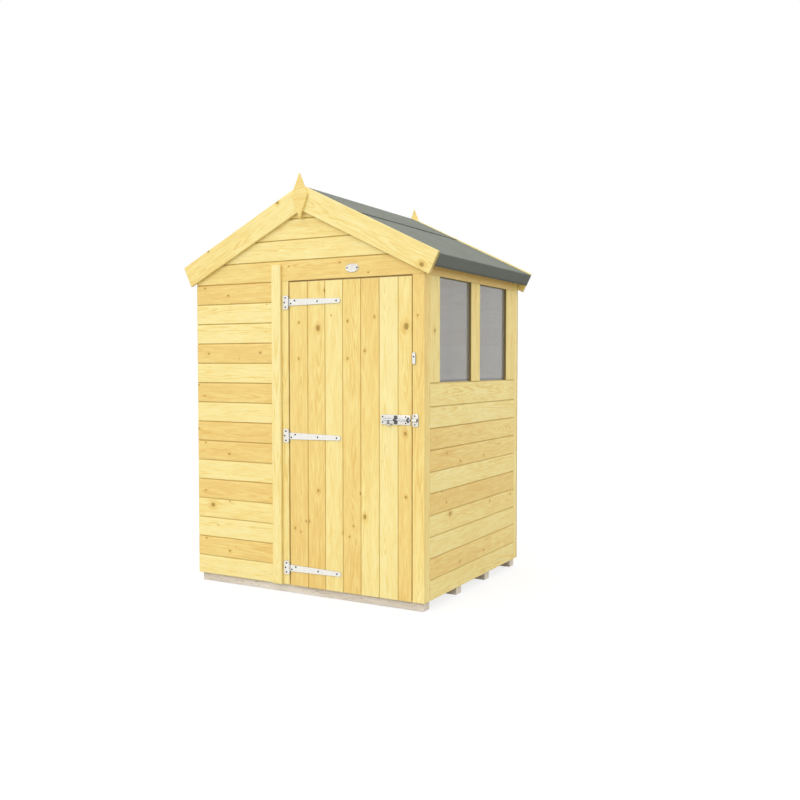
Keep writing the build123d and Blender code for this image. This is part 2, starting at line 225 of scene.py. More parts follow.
def mark_grain(mesh, order, tones="", knots=None, *, seed, run=None, wild=1.0):
    """Gives each board its own grain: where each point lies in the board along,
    across and through it, the board's size, and its seed, tone and knots.
    Tones go board by board along order, one letter or one for each end, from cream
    and pale to amber. Knots are places on the boards with a size, in millimetres, and
    one that falls on a joint belongs to the first of the two boards."""
    shades = {"w": 0.05, "p": 0.28, "n": 0.42, "m": 0.6, "o": 0.9}
    tones = tones.split()
    unplaced = list(knots or ())
    chance = random.Random(seed)
    bm = opened(mesh)
    bm.verts.ensure_lookup_table()
    bm.verts.index_update()
    layers = {
        name: bm.verts.layers.float_vector.new(name)
        for name in ["grain", "size", "look"] + knot_names
    }
    boards = islands(bm)
    order = Vector(order)
    boards.sort(key=lambda b: round(sum(v.co.dot(order) for v in b) / len(b), 4))
    for number, board in enumerate(boards):
        edges = dict.fromkeys(e for v in board for e in v.link_edges)
        longest = max(edges, key=lambda e: round(e.calc_length(), 5))
        along = Vector(run) if run else longest.verts[1].co - longest.verts[0].co
        along = along.normalized()
        if along.dot(growing_way) < 0:
            along = -along
        faces = dict.fromkeys(f for v in board for f in v.link_faces)
        broad = max(
            (f for f in faces if abs(f.normal.dot(along)) < 0.5),
            key=lambda f: round(f.calc_area(), 6)
        )
        out = (broad.normal - broad.normal.dot(along) * along).normalized()
        axes = (along, out.cross(along), out)
        middle, half = boxed([v.co for v in board], axes)
        letters = tones[number] if number < len(tones) else chance.choice("ppnmoo")
        first, last = shades[letters[0]], shades[letters[-1]]
        middling = (first + last) / 2 + chance.uniform(-0.05, 0.05)
        look = Vector((chance.random(), middling, (last - first) / 2))
        given = []
        for knot in list(unplaced):
            spot = Vector(knot[:3]) * mm
            place = [spot.dot(a) - m for a, m in zip(axes, middle)]
            if all(abs(p) < h + knot_reach for p, h in zip(place, half)):
                given.append((place[0] / mm, place[1] / mm, knot[3]))
                unplaced.remove(knot)
        given = given[: len(knot_names)]
        for _ in range(knots_drawn - len(given)):
            reach = chance.uniform(-0.9, 0.9) * half[0]
            side = chance.uniform(-0.8, 0.8) * half[1]
            large = chance.choice(knot_sizes) * wild
            given.append((reach / mm, side / mm, large))
        for vertex in board:
            place = [vertex.co.dot(a) - m for a, m in zip(axes, middle)]
            vertex[layers["grain"]] = Vector(place)
            vertex[layers["size"]] = Vector(half)
            vertex[layers["look"]] = look
            for name, knot in zip(knot_names, given):
                vertex[layers[name]] = Vector(knot) * mm
    closed(bm, mesh)


def eased(bm, edges, arris, segments=2):
    """Planes or files a small round along sharp edges."""
    bmesh.ops.bevel(
        bm, geom=edges, offset=arris, segments=segments, profile=0.5, affect="EDGES",
        clamp_overlap=True
    )


def timbers(name, *nodes, arris=1.5 * mm, segments=2):
    """A copy of CAD timbers as whole faces, with every arris eased. Timbers that
    touch stay apart, so each keeps its own grain."""
    bm = bmesh.new()
    for source in nodes:
        earlier = set(bm.verts)
        bm.from_mesh(frame["nodes"][source].data)
        fresh = [vertex for vertex in bm.verts if vertex not in earlier]
        bmesh.ops.remove_doubles(bm, verts=fresh, dist=weld_gap)
    bmesh.ops.dissolve_limit(bm, angle_limit=radians(2), verts=bm.verts, edges=bm.edges)
    sharp = [e for e in bm.edges if len(e.link_faces) == 2 and e.calc_face_angle() > sharp_turn]
    eased(bm, sharp, arris, segments)
    return shown(name, bm)


def group(kind, name, inputs):
    """A node group with named inputs, and what it is given."""
    made = bpy.data.node_groups.new(name, kind + "NodeTree")
    for label, sort in inputs.items():
        made.interface.new_socket(label, in_out="INPUT", socket_type="NodeSocket" + sort)
    start = made.nodes.new("NodeGroupInput").outputs
    return made, {label: Value(start[label]) for label in inputs}


def ended(tree, results, sort="Float"):
    """Gives a group its outputs."""
    for label in results:
        tree.interface.new_socket(label, in_out="OUTPUT", socket_type="NodeSocket" + sort)
    node(tree, "NodeGroupOutput", named=results)


def smooth(value, low, high, first=0.0, last=1.0):
    """value eased from first at low to last at high."""
    places = (value, low, high, first, last)
    return output(value.tree, "ShaderNodeMapRange", *places, interpolation_type="SMOOTHSTEP")


def parts(vector):
    """The three numbers of a vector."""
    return [Value(part) for part in node(vector.tree, "ShaderNodeSeparateXYZ", vector).outputs]


def vector_calc(operation, first, *others, **more):
    """One sum of vectors."""
    return output(first.tree, "ShaderNodeVectorMath", first, *others, operation=operation, **more)


def stretched_noise(vector, stretch, detail, shift=None):
    """Noise with its own count of waves to a metre along each axis, from 0 to 1."""
    spot = vector_calc("MULTIPLY", vector, stretch)
    if shift is not None:
        spot = vector_calc("ADD", spot, shift)
    settings = {"Vector": spot, "Scale": 1.0, "Detail": detail}
    return output(vector.tree, "ShaderNodeTexNoise", named=settings)


# The figure of any timber, worked out from where a point lies in its board: knots
# with the grain bent round them, year rings about a heart outside the board, fibre,
# worn edges, and the shade in the joints between boards.
board_apart = 37.0
knot_flat, knot_ragged, knot_turns = 0.55, 0.5, 3.3
heart_spread, heart_depth, heart_clear = 85 * mm, 70 * mm, 12 * mm
heart_drift, heart_taper = 70 * mm, 0.03
warp_reach, waver_reach = 8 * mm, 3.2 * mm
vectors = ["Grain", "Size", "Look"] + [name.replace("_", " ").title() for name in knot_names]
inputs = {**dict.fromkeys(vectors, "Vector"), "Ring Width": "Float", "Joint": "Float"}
figure, given = group("Shader", "timber_figure", inputs)
at, half, look = [parts(given[label]) for label in vectors[:3]]
shift = vector_calc("MULTIPLY", given["Look"], (board_apart, 0.0, 0.0))


def board_noise(stretch, detail):
    """Noise that lies along the board and differs from board to board."""
    return stretched_noise(given["Grain"], stretch, detail, shift)


ragged = board_noise((90, 160, 160), 2.0)
core, halo, across, nearest = 0.0, 0.0, at[1], 9.0
for label in vectors[3:]:
    knot = parts(given[label])
    wide = calc("MAXIMUM", knot[2], 0.0002)
    off = at[1] - knot[1]
    dx, dy = (at[0] - knot[0]) / wide, off / wide
    far = calc("SQRT", dx * dx * knot_flat + dy * dy) + ragged * knot_ragged
    nearest = calc("MINIMUM", nearest, far)
    core = calc("MAXIMUM", core, smooth(far, 1.0, 1.45, 1.0, 0.0))
    halo = calc("MAXIMUM", halo, smooth(far, 1.2, 3.6, 1.0, 0.0))
    across = across - smooth(far, 0.8, 5.5, 0.85, 0.0) * off
knot_rings = smooth(calc("FRACT", nearest * knot_turns), 0.3, 0.8, 0.0, 0.6)
bark, pith = smooth(nearest, 0.9, 1.15), smooth(nearest, 0.25, 0.5, 0.8, 0.0)
chances = [calc("FRACT", look[0] * prime) for prime in (13.7, 57.3, 91.9)]
heart_y = (chances[0] - 0.5) * heart_spread
drift = (board_noise((1.1, 0, 0), 1.0) - 0.5) * heart_drift
taper = (chances[2] - 0.5) * at[0] * heart_taper
heart_z = chances[1] * -heart_depth - heart_clear + drift + taper
from_heart = output(figure, "ShaderNodeCombineXYZ", 0.0, across - heart_y, at[2] - heart_z)
warp, waver = board_noise((2.2, 26, 26), 3.0), board_noise((11, 75, 75), 3.0)
radius = vector_calc("LENGTH", from_heart, place="Value")
radius = radius + warp * warp_reach + waver * waver_reach
turn = calc("FRACT", radius / given["Ring Width"])
late = smooth(turn, 0.25, 0.88) * smooth(turn, 0.9, 1.0, 1.0, 0.0)
faint = smooth(board_noise((3.2, 24, 24), 2.0), 0.38, 0.62, 0.2, 1.0)
bent = output(figure, "ShaderNodeCombineXYZ", at[0], across, radius)
# Painted shade in the joints between boards: it grows with depth below the face from 0.1 to 3 mm
# and fades out between 5 and 7 mm.
shallow = smooth(given["Joint"], 0.1 * mm, 3.0 * mm)
deep = smooth(given["Joint"], 5.0 * mm, 7.0 * mm, 1.0, 0.0)
gaps = [half[axis] - calc("ABSOLUTE", at[axis]) for axis in range(3)]
least, most = calc("MINIMUM", *gaps[:2]), calc("MAXIMUM", *gaps[:2])
to_arris = calc("MAXIMUM", least, calc("MINIMUM", most, gaps[2]))
rubbed = ragged * (4 * mm) + 1.2 * mm
masks = {
    "Rings": late * faint,
    "Fibre": board_noise((14, 520, 520), 3.0),
    "Streak": smooth(stretched_noise(bent, (24, 300, 200), 2.0, shift), 0.58, 0.74),
    "Wisp": stretched_noise(bent, (10, 80, 60), 4.0, shift) - 0.5,
    "Blotch": board_noise((1.7, 17, 17), 2.0),
    "Knot": core,
    "Knot Rings": calc("MAXIMUM", bark, pith, knot_rings),
    "Halo": halo,
    "Arris": smooth(to_arris, 0.0, rubbed, 1.0, 0.0),
    "End": smooth(gaps[0], 0.3 * mm, 1.2 * mm, 1.0, 0.0),
    "Along": at[0] / half[0],
    "Groove Shade": shallow * deep,
}
ended(figure, masks)


def blend(share, first, second, mode="MIX"):
    """Two colours mixed."""
    tree = shared_tree(share, first, second)
    first, second = [c if isinstance(c, Value) else (*c, 1) for c in (first, second)]
    places = {0: share, 6: first, 7: second}
    return output(tree, "ShaderNodeMix", named=places, place=2, data_type="RGBA", blend_type=mode)


def colour_ramp(value, stops):
    """Colours strung along value, as (place, colour) pairs."""
    made = node(value.tree, "ShaderNodeValToRGB", value)
    points = made.color_ramp.elements
    while len(points) < len(stops):
        points.new(0.5)
    for point, (place, colour) in zip(points, stops):
        point.position, point.color = place, (*colour, 1)
    return Value(made.outputs[0])


def weighted(value, weight, offset):
    """value times weight plus offset."""
    return output(value.tree, "ShaderNodeMath", value, weight, offset, operation="MULTIPLY_ADD")


def kept(tree, name, place="Fac"):
    """What a mesh keeps by name: a number, or a vector."""
    return output(tree, "ShaderNodeAttribute", attribute_name=name, place=place)


def surface(name, colour_of, specular=0.35, **looks):
    """A material whose colour, roughness, height and depth of relief come from
    colour_of(tree), with other looks by the names of their inputs."""
    made = bpy.data.materials.new(name)
    tree = emptied(made)
    colour, rough, height, depth = colour_of(tree)
    relief = {"Strength": 1.0, "Distance": depth, "Height": height}
    bump = output(tree, "ShaderNodeBump", named=relief)
    looks.update({"Base Color": colour, "Roughness": rough, "Specular IOR Level": specular})
    shader = output(tree, "ShaderNodeBsdfPrincipled", named={**looks, "Normal": bump})
    node(tree, "ShaderNodeOutputMaterial", shader)
    return made


def timber_finish(
    name, stops, late, knot, rings, sheen, relief, sawn=0.0, mottle=0.3, streak=0.4, end_wear=0.45
):
    """A timber material: colour stops for the boards' tones, the latewood and knot
    colours, how strongly the rings show, roughness, depth of relief and saw marks."""
    # groove is the colour of the painted shade in the joints and coves.
    groove = (0.66, 0.58, 0.36)

    def colour_of(tree):
        marks = {label: kept(tree, label.lower().replace(" ", "_"), "Vector") for label in vectors}
        sizes = {"Ring Width": ring_width, "Joint": kept(tree, "joint")}
        grain = node(tree, "ShaderNodeGroup", named={**marks, **sizes}, node_tree=figure)
        got = {mask: Value(grain.outputs[mask]) for mask in masks}
        look = parts(marks["Look"])
        tone = look[1] + weighted(got["Blotch"], mottle, -mottle / 2) + got["Along"] * look[2]
        tone = tone + got["Halo"] * 0.3 + weighted(got["Rings"], 0.16, -0.05)
        colour = colour_ramp(tone + got["Wisp"] * 1.3, stops)
        for mask, weight in (("Rings", rings), ("Streak", streak)):
            colour = blend(got[mask] * weight, colour, late, "MULTIPLY")
        fleck = weighted(got["Fibre"], 0.22, 0.88)
        fleck = output(tree, "ShaderNodeCombineColor", fleck, fleck, fleck)
        colour = blend(1.0, colour, fleck, "MULTIPLY")
        colour = blend(got["Halo"] * 0.28, colour, late, "MULTIPLY")
        light, dark = [tuple(c * share for c in knot) for share in (1.35, 0.62)]
        heart = blend(got["Knot Rings"], light, dark)
        colour = blend(got["Knot"] * 0.9, colour, heart)
        # Painted shade in the joints and coves between boards.
        colour = blend(got["Groove Shade"] * 0.8, colour, groove, "MULTIPLY")
        worn = tuple(0.5 * c for c in stops[-1][1])
        colour = blend(got["Arris"] * 0.16, colour, worn)
        colour = blend(got["End"] * end_wear, colour, worn)
        rough = weighted(got["Fibre"], 0.16, sheen - 0.08) + got["Knot"] * -0.12
        height = got["Fibre"] * 0.45 + got["Rings"] * 0.35
        height = height + got["Knot"] * -0.5
        if sawn:
            saw = {"Vector": marks["Grain"], "Scale": 42.0, "Distortion": 1.6, "Detail": 2.0}
            cuts = output(tree, "ShaderNodeTexWave", named=saw, place="Fac", bands_direction="X")
            height = height + cuts * sawn
        return colour, rough, height, relief

    return surface(name, colour_of)


sawn_timber = timber_finish(
    "sawn_timber",
    [(0.0, (0.95, 0.88, 0.76)), (0.5, (0.89, 0.81, 0.69)), (1.0, (0.74, 0.655, 0.545))],
    (0.68, 0.61, 0.53), (0.20, 0.13, 0.09), rings=0.8, sheen=0.85, relief=0.5 * mm, sawn=0.8,
    mottle=0.9, streak=0.9, end_wear=0.0
)


def dressed(made, material, body, slot, *nodes):
    """Gives a finished piece its material and body, and hides the CAD nodes it stands for; slot is
    not used.
    """
    made.data.materials.clear()
    made.data.materials.append(material)
    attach(made, body)
    if nodes:
        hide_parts(*nodes)
    return made


base = timbers("bearers_sawn", "bearers", arris=bearer_arris)
mark_grain(base.data, (0, 1, 0), "m p m p", seed=3)
dressed(base, sawn_timber, "shed", "sawn_timber", "bearers")

# ---- Floor ---------------------------------------------------------------------
# Planed pine boards, tongued and grooved, run front to back on the bearers; the two wire
# nails that hold each board to each bearer are not drawn.
tongue_reach = 6 * mm
joint_gap = 0.25 * mm


def outward(name, points, faces):
    """A closed mesh of points and faces, with the faces turned outwards."""
    mesh = bpy.data.meshes.new(name)
    mesh.from_pydata(points, [], faces)
    bm = opened(mesh)
    bmesh.ops.recalc_face_normals(bm, faces=bm.faces)
    return closed(bm, mesh)


def matchboard(name, cover, thickness, vee, cove):
    """One tongue-and-groove board a metre long, its face on z = 0 and one edge on
    y = 0. The face is eased by vee at that edge, and at the other, where the tongue
    is, it is scooped back by cove, a width and a depth."""
    low, high, middle = joint_gap, cover - joint_gap, -0.55 * thickness
    lip, slack = thickness / 8, 0.3 * mm
    scoop_steps = 5 if cove[0] > vee else 1
    scoop = []
    for step in range(scoop_steps + 1):
        share = step / scoop_steps
        depth = 1 - cos(share * pi / 2) if scoop_steps > 1 else share
        scoop.append((high - cove[0] * (1 - share), -cove[1] * depth))
    section = [(low, -vee), (low + vee, 0), *scoop]
    section += [
        (high, middle + lip), (high + tongue_reach, middle + lip),
        (high + tongue_reach, middle - lip), (high, middle - lip), (high, -thickness),
        (low, -thickness), (low, middle - lip - slack),
        (low + tongue_reach + slack, middle - lip - slack),
        (low + tongue_reach + slack, middle + lip + slack), (low, middle + lip + slack)
    ]
    count = len(section)
    points = [(x, y, z) for x in (0, 1) for y, z in section]
    sides = [(i, (i + 1) % count, (i + 1) % count + count, i + count) for i in range(count)]
    caps = [tuple(reversed(range(count))), tuple(range(count, 2 * count))]
    return bpy.data.objects.new(name, outward(name, points, sides + caps))


def named_value(tree, name, kind="FLOAT"):
    """A number or vector kept on each point."""
    return output(tree, "GeometryNodeInputNamedAttribute", name, data_type=kind)


def by_chance(seed, top):
    """A number from 0 to top for each point."""
    span = {3: top, "Seed": seed}
    return output(seed.tree, "FunctionNodeRandomValue", named=span, place=1, data_type="FLOAT")


def copies(tree, points, model, rotation, scale, material):
    """Ends a tree: an object copied to each point, made real and given its material."""
    shape = output(tree, "GeometryNodeObjectInfo", model, place="Geometry")
    places = {"Instance": shape, "Rotation": rotation, "Scale": scale}
    laid = output(tree, "GeometryNodeInstanceOnPoints", points, named=places)
    solid = output(tree, "GeometryNodeRealizeInstances", laid)
    covered = output(tree, "GeometryNodeSetMaterial", solid, named={"Material": material})
    ended(tree, {"Geometry": covered}, "Geometry")


# Boards side by side: each point is a board's first corner and carries its length
# and width, and the seed sets each board in from the face by a hair.
inputs = {"Geometry": "Geometry", "Board": "Object", "Run": "Vector", "Rise": "Vector"}
inputs.update({"Cover": "Float", "Set In": "Float", "Seed": "Int", "Material": "Material"})
courses, given = group("Geometry", "courses_of_boards", inputs)
run, rise = given["Run"], given["Rise"]
turned = output(
    courses, "FunctionNodeAxesToRotation", run, rise, primary_axis="X", secondary_axis="Y"
)
wide = named_value(courses, "width") / given["Cover"]
stretch = output(courses, "ShaderNodeCombineXYZ", named_value(courses, "length"), wide, 1.0)
hair = {"Scale": by_chance(given["Seed"], given["Set In"])}
inward = vector_calc("SCALE", vector_calc("CROSS_PRODUCT", rise, run), named=hair)
placed = {"Offset": inward}
corners = output(courses, "GeometryNodeSetPosition", given["Geometry"], named=placed)
copies(courses, corners, given["Board"], turned, stretch, given["Material"])


def grown(name, points, attributes, tree, values):
    """Grows a tree over points that carry attributes, and returns a plain mesh."""
    seed_mesh = bpy.data.meshes.new(name + "_points")
    seed_mesh.from_pydata(points, [], [])
    for label, (kind, numbers) in attributes.items():
        layer = seed_mesh.attributes.new(label, kind, "POINT")
        if kind == "FLOAT":
            layer.data.foreach_set("value", numbers)
        else:
            layer.data.foreach_set("vector", [c for v in numbers for c in v])
    made = linked(name, seed_mesh)
    modifier = made.modifiers.new("grow", "NODES")
    modifier.node_group = tree
    for item in tree.interface.items_tree:
        if item.in_out == "INPUT" and item.name in values:
            modifier[item.identifier] = values[item.name]
    modifier.show_viewport = modifier.show_render = True
    seed_mesh.update()
    ready = made.evaluated_get(bpy.context.evaluated_depsgraph_get())
    mesh = bpy.data.meshes.new_from_object(ready)
    made.modifiers.clear()
    made.data = mesh
    mesh.name = name
    bpy.data.meshes.remove(seed_mesh)
    return made


def trimmed(made, cuts):
    """Saws the boards off along planes, each a point and the direction cut away."""
    bm = opened(made.data)
    for point, away in cuts:
        plane = {"plane_co": point, "plane_no": away, "clear_outer": True, "dist": 0.001 * mm}
        everything = bm.verts[:] + bm.edges[:] + bm.faces[:]
        cut = bmesh.ops.bisect_plane(bm, geom=everything, **plane)["geom_cut"]
        edges = [e for e in cut if isinstance(e, bmesh.types.BMEdge)]
        bmesh.ops.holes_fill(bm, edges=edges, sides=0)
    bm.normal_update()
    closed(bm, made.data)


def boarding(
    name, start, run, out, length, widths, *, material, seed, thickness=12 * mm, vee=0.8 * mm,
    cove=(13 * mm, 4.6 * mm), cuts=()
):
    """Boards of the given widths, laid from start along out x run, face outwards."""
    run, out, corner = Vector(run), Vector(out), Vector(start)
    rise = out.cross(run)
    cover = sorted(widths)[len(widths) // 2]
    model = matchboard(name + "_board", cover, thickness, vee, cove)
    corners = []
    for width in widths:
        corners.append(tuple(corner))
        corner = corner + rise * width
    sizes = {"length": ("FLOAT", [length] * len(widths)), "width": ("FLOAT", widths)}
    values = {"Board": model, "Run": run, "Rise": rise, "Cover": cover, "Set In": 0.35 * mm}
    values.update({"Seed": seed, "Material": material})
    made = grown(name, corners, sizes, courses, values)
    bpy.data.objects.remove(model)
    first = Vector(start) + joint_gap * rise
    ends = [(corner - joint_gap * rise, rise), *cuts]
    trimmed(made, ends)
    mesh = made.data
    # joint keeps each corner's depth below the face, for the painted shade in the joints; faces on
    # the first and cut edges keep none.
    depths = []
    for face in mesh.polygons:
        points = [mesh.vertices[i].co for i in face.vertices]
        bare = any(
            all(abs((point - on).dot(way)) < 0.1 * mm for point in points)
            for on, way in [(first, rise), *ends]
        )
        depths += [0.0 if bare else (Vector(start) - point).dot(out) for point in points]
    layer = mesh.attributes.new("joint", "FLOAT", "CORNER")
    layer.data.foreach_set("value", depths)
    return made


pine = timber_finish(
    "dressed_pine",
    [
        (0.0, (0.945, 0.82, 0.39)), (0.3, (0.94, 0.785, 0.322)), (0.6, (0.905, 0.70, 0.252)),
        (1.0, (0.85, 0.60, 0.196))
    ],
    (0.87, 0.75, 0.47), (0.37, 0.228, 0.042), rings=0.5, sheen=0.52, relief=0.18 * mm
)
low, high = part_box("floor_boards")
floor_count = 13
floor_width = (high.x - low.x) / floor_count
planks = boarding(
    "floor_planks", (low.x, high.y, high.z), (0, -1, 0), (0, 0, 1), high.y - low.y,
    [floor_width] * floor_count, thickness=high.z - low.z, cove=(0.8 * mm, 0.8 * mm), material=pine,
    seed=4
)
mark_grain(planks.data, (1, 0, 0), seed=11)
dressed(planks, pine, "shed", "pine", "floor_boards")

# ---- Frame ---------------------------------------------------------------------
# The wall frames are sawn softwood, planed thin at the edges by the mill: studs on
# the floor, rails between them, and a plate along the head of each side wall.
framing = timber_finish(
    "framing", [(0.0, (0.90, 0.77, 0.46)), (0.5, (0.86, 0.70, 0.38)), (1.0, (0.78, 0.57, 0.27))],
    (0.86, 0.74, 0.50), (0.28, 0.17, 0.05), rings=0.5, sheen=0.75, relief=0.35 * mm, sawn=0.5
)
sides = ("front", "back", "left", "right")
frame_sets = [(side + "_frame", (side + "_studs", side + "_rails")) for side in sides]
frame_sets.append(("roof_frame", ("ridge_beam", "rafters", "purlins")))
for number, (name, members) in enumerate(frame_sets):
    made = timbers(name, *members, arris=1.2 * mm, segments=1)
    mark_grain(made.data, (1, 2, 3), seed=20 + number, wild=1.4)
    dressed(made, framing, "shed", "framing", *members)

# ---- Cladding ------------------------------------------------------------------
# Planed pine boards, tongued, grooved and coved at the joint, are nailed across the
# frames from the bottom up. Pale and amber boards come as they leave the pack, and the
# gable boards are sawn to the pitch of the roof.
board_cover, first_board, top_board = 114.5 * mm, 110.7 * mm, 124.5 * mm
front_face, side_face = -651, 762
pitch = radians(26.1)
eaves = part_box("corner_trims")[1].z


def slope(side):
    """The way down the roof on one side, and the way out of it."""
    down = Vector((side * cos(pitch), 0, -sin(pitch)))
    return down, Vector((side * sin(pitch), 0, cos(pitch)))


def on_front(*knots):
    """Knots on the front, given as x, z and size."""
    return [(x, front_face, z, size) for x, z, size in knots]


def stack(bottom, top, first):
    """The widths of the boards that fill a height."""
    widths = [first or board_cover]
    while bottom + sum(widths) < top - 0.5 * mm:
        widths.append(min(board_cover, top - bottom - sum(widths)))
    return widths


def wall(
    member, out, seeds, tones="", knots=None, first=None, last=(), cuts=(), run=None, name=None
):
    """Boards laid from the bottom up over a CAD node, facing out. The seeds are for the
    boards' places and for their grain, and first and last are the odd widths."""
    low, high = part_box(member)
    along = (-out[1], out[0], 0)
    axis = 0 if along[0] else 1
    corner = [(low, high)[o > a][i] for i, (o, a) in enumerate(zip(out, along))]
    widths = stack(low.z, high.z - sum(last), first) + list(last)
    made = boarding(
        name or member.replace("cladding", "boards"), corner, along, out, high[axis] - low[axis],
        widths, cuts=cuts, material=pine, seed=seeds[0]
    )
    mark_grain(made.data, (0, 0, 1), tones, knots, seed=seeds[1], run=run)
    dressed(made, pine, "shed", "pine", member)


front, back, left, right = (0, -1, 0), (0, 1, 0), (-1, 0, 0), (1, 0, 0)
gable_low, gable_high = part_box("front_gable")
slopes = [(Vector((side * gable_high.x, 0, eaves)), slope(side)[1]) for side in (-1, 1)]
front_knots = on_front(
    (-700, 1745, 4.9), (-525, 1696, 5.4), (-676, 1360, 4.9), (-295, 1363, 5.6), (-753, 1175, 4.4),
    (-710, 1111, 3.8), (-756, 914, 4.4), (-705, 832, 4.2), (-526, 771, 5.4), (-707, 545, 4.6),
    (-651, 463, 11.5), (-524, 491, 3.6), (-704, 259, 4.6), (-527, 199, 5.4)
)
front_tones = "p o p n o p o o p o p o p p o"
wall("front_cladding", front, (5, 31), front_tones, front_knots, first_board)
gable_knots = on_front((-92, 1843, 3.8), (246, 1847, 4.5), (424, 1785, 3.8))
gabled = {"cuts": slopes, "run": (1, 0, 0)}
wall("front_gable", front, (6, 37), "mo p n n o", gable_knots, name="gable_boards", **gabled)
wall("back_cladding", back, (7, 41), first=first_board, **gabled)
wall("left_cladding", left, (8, 43), first=first_board)
places = (
    (-387, 814, 4.8), (113, 759, 4.4), (-213, 756, 5.2), (-443, 614, 4.8), (-389, 546, 4.8),
    (540, 479, 4.8), (210, 474, 5.2), (-342, 478, 10.5), (-216, 190, 5.2), (118, 195, 4.8)
)
right_knots = [(side_face, *place) for place in places]
right_tones = "n om pn nm oo pn om om p n"
wall("right_cladding", right, (9, 47), right_tones, right_knots, first_board, [top_board])
# The head boards take the darkest amber tone, as painted shade under the eaves.
wall("window_head", right, (10, 53), "o o", name="head_boards")

# ---- Trims ---------------------------------------------------------------------
# Planed pine boards with eased edges finish the wall: trims at the side corners, a strip
# each side of the doorway, uprights beside the windows, and a paler cover strip
# beside the hinges.
trim_knots = [(722, front_face, 1549, 4.5), (side_face, -533, 1474, 7.7)]
for name, member, arris, tones, order in (
    ("corner_trim_boards", "corner_trims", 1.5 * mm, "p p no n", (1, 0.3, 0)),
    # The hinge strip takes the darker tone n, as painted shade beside the cover strip.
    ("hinge_strip_board", "hinge_strip", 1.5 * mm, "n", (1, 0, 0)),
    ("latch_strip_board", "latch_strip", 1.2 * mm, "no", (1, 0, 0)),
    ("cover_strip_board", "cover_strip", 2.0 * mm, "pw", (1, 0, 0)),
    ("window_uprights", "window_stiles", 1.5 * mm, "n m m", (0, 1, 0))
):
    made = timbers(name, member, arris=arris)
    mark_grain(made.data, order, tones, trim_knots, seed=60 + len(name), run=(0, 0, 1), wild=0)
    dressed(made, pine, "shed", "pine", member)

# ---- Windows -------------------------------------------------------------------
# Two fixed panes of slightly hazy styrene sheet are bedded on brown tape, and a thin brown
# sheet lines the sides and head of each opening as painted shade in the reveals. Planed beads
# pinned inside hold them.
tape_thick = 1.2 * mm
tape_back = 1.5 * mm
bead_size, bead_lap = 14 * mm, 4 * mm


def add_boxes(bm, spans):
    """Adds square blocks, each from three pairs of limits."""
    for span in spans:
        for vertex in bmesh.ops.create_cube(bm, size=1)["verts"]:
            pairs = zip(span, vertex.co)
            vertex.co = [low + (high - low) * (c + 0.5) for (low, high), c in pairs]


def box_mesh(name, spans, arris):
    """Square pieces with eased edges, each from three pairs of limits."""
    bm = bmesh.new()
    add_boxes(bm, spans)
    bmesh.ops.bevel(bm, geom=bm.edges[:], offset=arris, segments=2, profile=0.5, affect="EDGES")
    return shown(name, bm)


def solid_boxes(member):
    """The (low, high) corners of each solid of a CAD node."""
    bm = opened(frame["nodes"][member].data)
    bmesh.ops.remove_doubles(bm, verts=bm.verts, dist=weld_gap)
    found = []
    for solid in islands(bm):
        spans = [[v.co[axis] for v in solid] for axis in range(3)]
        found.append((Vector([min(s) for s in spans]), Vector([max(s) for s in spans])))
    bm.free()
    return sorted(found, key=lambda pair: tuple(pair[0]))


def object_spot(tree, place="Object"):
    """Where a point lies on its object, or which way it faces."""
    return output(tree, "ShaderNodeTexCoord", place=place)


def window_glass(tree):
    """Sheet with a faint haze, in lighter and darker vertical bands that are painted reflections.
    """
    spot = object_spot(tree)
    film = stretched_noise(spot, (3, 3, 2), 3.0)
    smear = stretched_noise(spot, (40, 40, 9), 3.0)
    # Vertical bands, lighter and darker: painted reflections.
    band = stretched_noise(spot, (1, 5, 0.4), 1.0)
    colour = blend(smooth(band, 0.3, 0.7), (0.88, 0.88, 0.885), (0.96, 0.95, 0.92))
    wave = stretched_noise(spot, (5, 5, 5), 1.0)
    return colour, weighted(film * smear, 0.04, 0.05), wave, 0.4 * mm


clear = {"Transmission Weight": 0.84, "IOR": 1.58}
glazing = surface("window_glass", window_glass, specular=0.5, **clear)
panes = solid_boxes("window_glass")
spans = [((a.x, b.x), (a.y, b.y), (a.z, b.z)) for a, b in panes]
dressed(box_mesh("window_panes", spans, 0.4 * mm), glazing, "shed", "glazing", "window_glass")

uprights = solid_boxes("window_stiles")
openings = [(uprights[i][1].y, uprights[i + 1][0].y) for i in (0, 1)]
sill, head = uprights[0][0].z, uprights[0][1].z
tape_and_shade_spans, bead_spans = [], []
for (near, far), (a, b) in zip(openings, panes):
    behind = (b.x, uprights[0][0].x)
    # beside spans the reveal faces, where the brown sheet is painted shade.
    beside = (b.x + 0.1 * mm, uprights[0][1].x - tape_back)
    inside = (a.x - bead_size, a.x)
    bead_height = (a.z + bead_size, head - bead_lap)
    tape_and_shade_spans += [
        (behind, (a.y, b.y), (head, b.z)), (behind, (a.y, near), (a.z, head)),
        (behind, (far, b.y), (a.z, head)), (beside, (near, near + tape_thick), (sill, head)),
        (beside, (far - tape_thick, far), (sill, head)),
        (beside, (near + tape_thick, far - tape_thick), (head - 2 * tape_thick, head))
    ]
    bead_spans += [
        (inside, (a.y, b.y), (head - bead_lap, b.z)), (inside, (a.y, b.y), (a.z, a.z + bead_size)),
        (inside, (a.y, near + bead_lap), bead_height), (inside, (far - bead_lap, b.y), bead_height)
    ]
beads = box_mesh("glazing_beads", bead_spans, 0.8 * mm)
mark_grain(beads.data, (0, 1, 0.2), seed=71, wild=0.5)
dressed(beads, framing, "shed", "framing")


def tape_finish(tree):
    """Brown butyl, slightly grained, also used for the painted shade lining the reveals."""
    grain = stretched_noise(object_spot(tree), (300, 300, 300), 2.0)
    colour = blend(grain, (0.22, 0.17, 0.062), (0.30, 0.23, 0.088))
    return colour, weighted(grain, 0.2, 0.6), grain, 0.1 * mm


